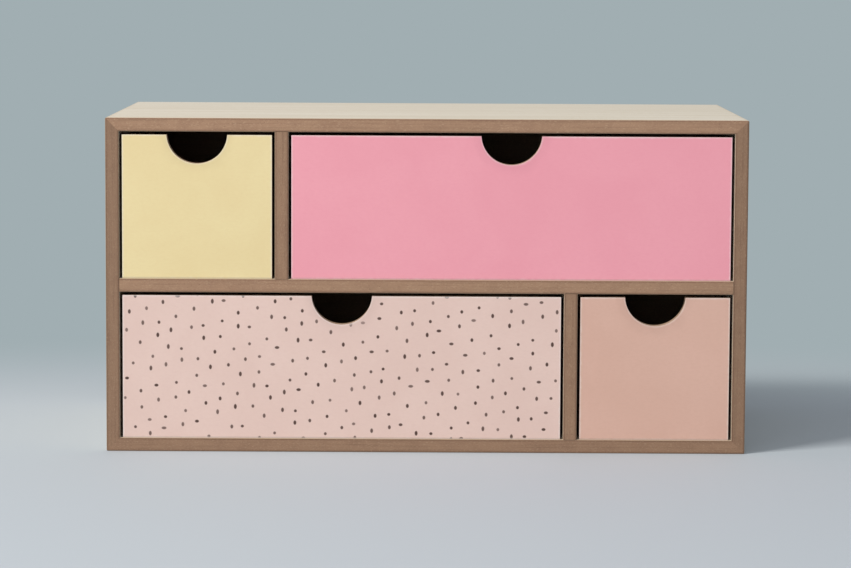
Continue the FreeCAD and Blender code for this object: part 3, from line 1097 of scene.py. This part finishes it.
@dataclass(frozen=True)
class Drawer:
    """One drawer: four boards, a bottom, its pins and the facing paper on its front.

    Attributes:
        name: the drawer's body, which begins the names of its nodes.
        paper: the facing paper.
        log: the place in the log of the first board.
        board: the finish of the boards.
        floor: the finish of the bottom.
        steel: the finish of the pins.
        roll: the radius to which the paper's front edge is rolled, in metres.
        board_step: the step in the log from one board to the next.
        floor_step: the step in the log from the first board to the bottom.
    """

    name: str
    paper: FacingPaper
    log: float
    board: SandedFibreboard = SandedFibreboard()
    floor: ThinPlywood = ThinPlywood()
    steel: DrawnSteel = DrawnSteel()
    roll: float = 0.12 * MM
    board_step: float = 2.9
    floor_step: float = 17.0

    def build(self) -> None:
        """Builds the facing paper, which stands for its plain CAD sheet."""
        node = f"{self.name}_facing"
        sheet = NotchedSheet.of_node(node)
        piece = sheet.build(f"{self.name}_facing_paper", self.roll)
        put_on(piece, self.paper.material(sheet))
        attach(piece, self.name)
        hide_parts(node)
        LOG.info("%s: facing paper with a notch of radius %.1f mm", self.name, sheet.radius / MM)

    def dress(self) -> None:
        """Gives the drawer's boards and pins their finishes."""
        boards = (
            ("front", Axis.X, Axis.Y), ("back", Axis.X, Axis.Y),
            ("left_side", Axis.Y, Axis.X), ("right_side", Axis.Y, Axis.X),
        )
        for number, (part, grain, thick) in enumerate(boards):
            log = self.log + self.board_step * number
            self.board.dress(Board(f"{self.name}_{part}", grain, thick, log))
        self.floor.dress(Board(f"{self.name}_bottom", Axis.X, Axis.Z, self.log + self.floor_step))
        self.steel.dress(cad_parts[f"{self.name}_pins"])
        LOG.info("%s: boards, bottom and pins", self.name)


DRAWERS = (
    Drawer("upper_narrow_drawer",
           FacingPaper("pale_yellow", "#E7D5A2", "#E1CB97", "#EFE9DA", "yellow_facing"),
           log=100.0),
    Drawer("upper_wide_drawer",
           FacingPaper("rose_pink", "#EDA0AC", "#E898A5", "#F1E2E0", "pink_facing"),
           log=130.0),
    Drawer("lower_wide_drawer",
           FacingPaper("speckled_blush", "#E2C6BB", "#DBBDB2", "#F0E8E2", "dotted_facing", Specks()),
           log=160.0),
    Drawer("lower_narrow_drawer",
           FacingPaper("dusty_tan", "#D8B09F", "#D0A795", "#EDE3DA", "tan_facing"),
           log=190.0),
)


# --------------------------------------------------------------------------------------------------
# The studio


@dataclass(frozen=True)
class SoftBox:
    """A large square lamp that looks at a point of the organizer.

    Attributes:
        name: the lamp's name.
        place: where it stands, in metres.
        size: the length of its side, in metres.
        power: its power, in watts.
        colour: its colour.
    """

    name: str
    place: tuple[float, float, float]
    size: float
    power: float
    colour: str

    def build(self) -> None:
        """Hangs the lamp, turned towards the middle of the organizer."""
        data = bpy.data.lights.new(self.name, "AREA")
        data.size = self.size
        data.energy = self.power
        data.color = linear(self.colour)[:3]
        lamp = bpy.data.objects.new(self.name, data)
        middle = sum(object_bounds(), Vector()) / 2
        lamp.location = self.place
        lamp.rotation_euler = (middle - Vector(self.place)).to_track_quat("-Z", "Y").to_euler()
        bpy.context.collection.objects.link(lamp)


@dataclass(frozen=True)
class Viewpoint:
    """The camera, as a place in front of the case and three angles.

    Attributes:
        distance: how far in front of the case it stands, in metres.
        aside: how far to the right of its middle, in metres.
        height: how far above the table, in metres.
        pitch: how far it looks up, in degrees.
        yaw: how far it is turned to the left, in degrees.
        roll: how far it is rolled, in degrees.
        lens: the focal length, in millimetres.
        sensor: the sensor's width, in millimetres.
    """

    distance: float = 1.625
    aside: float = 0.0016
    height: float = 0.2534
    pitch: float = -5.825
    yaw: float = 0.071
    roll: float = 0.284
    lens: float = 134.3
    sensor: float = 36.0

    def build(self, case_front: float) -> None:
        """Sets the camera up.

        Args:
            case_front: the place of the case's front along Y.
        """
        data = bpy.data.cameras.new("studio_camera")
        data.lens = self.lens
        data.sensor_width = self.sensor
        camera = bpy.data.objects.new("studio_camera", data)
        bpy.context.collection.objects.link(camera)
        turn = (Matrix.Rotation(math.radians(self.yaw), 4, "Z")
                @ Matrix.Rotation(math.radians(90 + self.pitch), 4, "X")
                @ Matrix.Rotation(math.radians(self.roll), 4, "Z"))
        place = (self.aside, case_front - self.distance, self.height)
        camera.matrix_world = Matrix.Translation(place) @ turn
        bpy.context.scene.camera = camera


@dataclass(frozen=True)
class Studio:
    """A pale table top that runs into the wall's colour, under soft light, with the camera.

    Attributes:
        table: the colour of the table top.
        wall: the colour that the table top fades to, and that lies behind everything.
        pool: the middle of the pale pool of table top, in metres.
        fade: the distances from that middle at which the fade starts and ends, in metres.
        radius: the radius of the table top, in metres.
        rings: the number of points from its middle to its rim.
        spokes: the number of points round it.
        world: the colour of the even light from all round.
        world_strength: its strength.
        paint: the texture of the table top.
        roughness: the table top's roughness.
        specular: the strength of its mirror reflection.
        relief: how high its texture stands, in metres.
        lamps: the lamps.
        viewpoint: the camera.
    """

    table: str = "#B8C0C7"
    wall: str = "#A1AEB2"
    pool: tuple[float, float, float] = (0.0, -0.5, 0.0)
    fade: tuple[float, float] = (0.6, 0.95)
    radius: float = 12.0
    rings: int = 24
    spokes: int = 64
    world: str = "#F6F9FF"
    world_strength: float = 0.42
    paint: Clouds = Clouds((120.0, 120.0, 120.0), 2.0, detail=3.0)
    roughness: float = 0.7
    specular: float = 0.2
    relief: float = 0.1 * MM
    lamps: tuple[SoftBox, ...] = (
        SoftBox("key_soft_box", (-1.75, -1.4, 2.25), 1.0, 84.0, "#FFFAF3"),
        SoftBox("fill_soft_box", (-0.7, -2.5, 0.9), 1.6, 13.0, "#F4F8FF"),
    )
    viewpoint: Viewpoint = Viewpoint()

    def build_floor(self) -> None:
        """Builds the floor: a disc on a polar grid, whose rings lie closer together near its middle."""
        rings, spokes = self.rings, self.spokes
        radius = self.radius * np.linspace(0, 1, rings)[1:, None] ** 2
        angle = np.linspace(0, 2 * math.pi, spokes, endpoint=False)[None, :]
        level = np.zeros((rings - 1, spokes))
        grid = np.stack([radius * np.cos(angle), radius * np.sin(angle), level], axis=-1)
        points = np.concatenate([[[0.0, 0.0, 0.0]], grid.reshape(-1, 3)])
        here = np.arange(spokes)
        following = (here + 1) % spokes
        start = 1 + np.arange(rings - 2)[:, None] * spokes
        quads = np.stack([start + here, start + spokes + here, start + spokes + following,
                          start + following], axis=-1).reshape(-1, 4)
        fan = np.stack([np.zeros(spokes, int), 1 + here, 1 + following], axis=1)
        floor = new_piece("studio_floor", points, fan.tolist() + quads.tolist())
        put_on(floor, self.floor_material())
        floor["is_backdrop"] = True

    def seen_directly(self, tree: bpy.types.NodeTree) -> Socket:
        """Adds the test for a surface seen by the camera, in a reflection or through glass.

        Args:
            tree: the node tree.

        Returns:
            One where it is seen so, else nought.
        """
        path = add_node(tree, "LightPath")
        seen = path.outputs["Is Camera Ray"]
        for ray in ("Is Glossy Ray", "Is Transmission Ray"):
            seen = add_node(tree, "Math", {0: seen, 1: path.outputs[ray]}, operation="MAXIMUM").outputs[0]
        return seen

    def floor_material(self) -> bpy.types.Material:
        """Makes painted board, lit and shadowed near the organizer, that fades to the wall's colour.

        Returns:
            The material.
        """
        material, tree = new_material("painted_table_top")
        place = add_node(tree, "TexCoord").outputs["Object"]
        from_pool = add_node(tree, "VectorMath", {0: place, 1: self.pool}, operation="DISTANCE")
        fade = add_node(tree, "MapRange", {
            "Value": from_pool.outputs["Value"], "From Min": self.fade[0], "From Max": self.fade[1]},
            interpolation_type="SMOOTHSTEP")
        clouds = self.paint.pattern(tree, place_in_mm(tree)[0])
        bump = add_node(tree, "Bump", {"Strength": 1.0, "Distance": self.relief, "Height": clouds})
        board = add_node(tree, "BsdfPrincipled", {
            "Base Color": linear(self.table), "Roughness": self.roughness,
            "Specular IOR Level": self.specular, "Normal": bump.outputs[0]})
        wall = add_node(tree, "Emission", {0: linear(self.wall), 1: 1.0})
        share = add_node(tree, "Math", {0: fade.outputs[0], 1: self.seen_directly(tree)},
                         operation="MULTIPLY")
        mix = add_node(tree, "MixShader", {0: share.outputs[0], 1: board.outputs[0], 2: wall.outputs[0]})
        add_node(tree, "OutputMaterial", {"Surface": mix.outputs[0]})
        return material

    def build_world(self) -> None:
        """Lights the scene evenly and shows the wall's colour to the camera."""
        world = bpy.data.worlds.new("studio_world")
        world.use_nodes = True
        tree = world.node_tree
        tree.nodes.clear()
        light = add_node(tree, "Background", {0: linear(self.world), 1: self.world_strength})
        wall = add_node(tree, "Background", {0: linear(self.wall), 1: 1.0})
        mix = add_node(tree, "MixShader", {
            0: self.seen_directly(tree), 1: light.outputs[0], 2: wall.outputs[0]})
        add_node(tree, "OutputWorld", {0: mix.outputs[0]})
        bpy.context.scene.world = world

    def build(self) -> None:
        """Builds the floor, the light and the camera."""
        self.build_floor()
        self.build_world()
        for lamp in self.lamps:
            lamp.build()
        low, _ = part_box("case_left_side")
        self.viewpoint.build(low.y)
        bpy.context.scene.view_settings.view_transform = "Standard"
        LOG.info("studio: floor, %d lamps and camera", len(self.lamps))


def main() -> None:
    """Builds and dresses the organizer, then the studio."""
    logging.basicConfig(level=logging.INFO, format="%(message)s")
    Case().dress()
    for drawer in DRAWERS:
        drawer.build()
        drawer.dress()
    Studio().build()


if __name__ == "__main__":
    main()
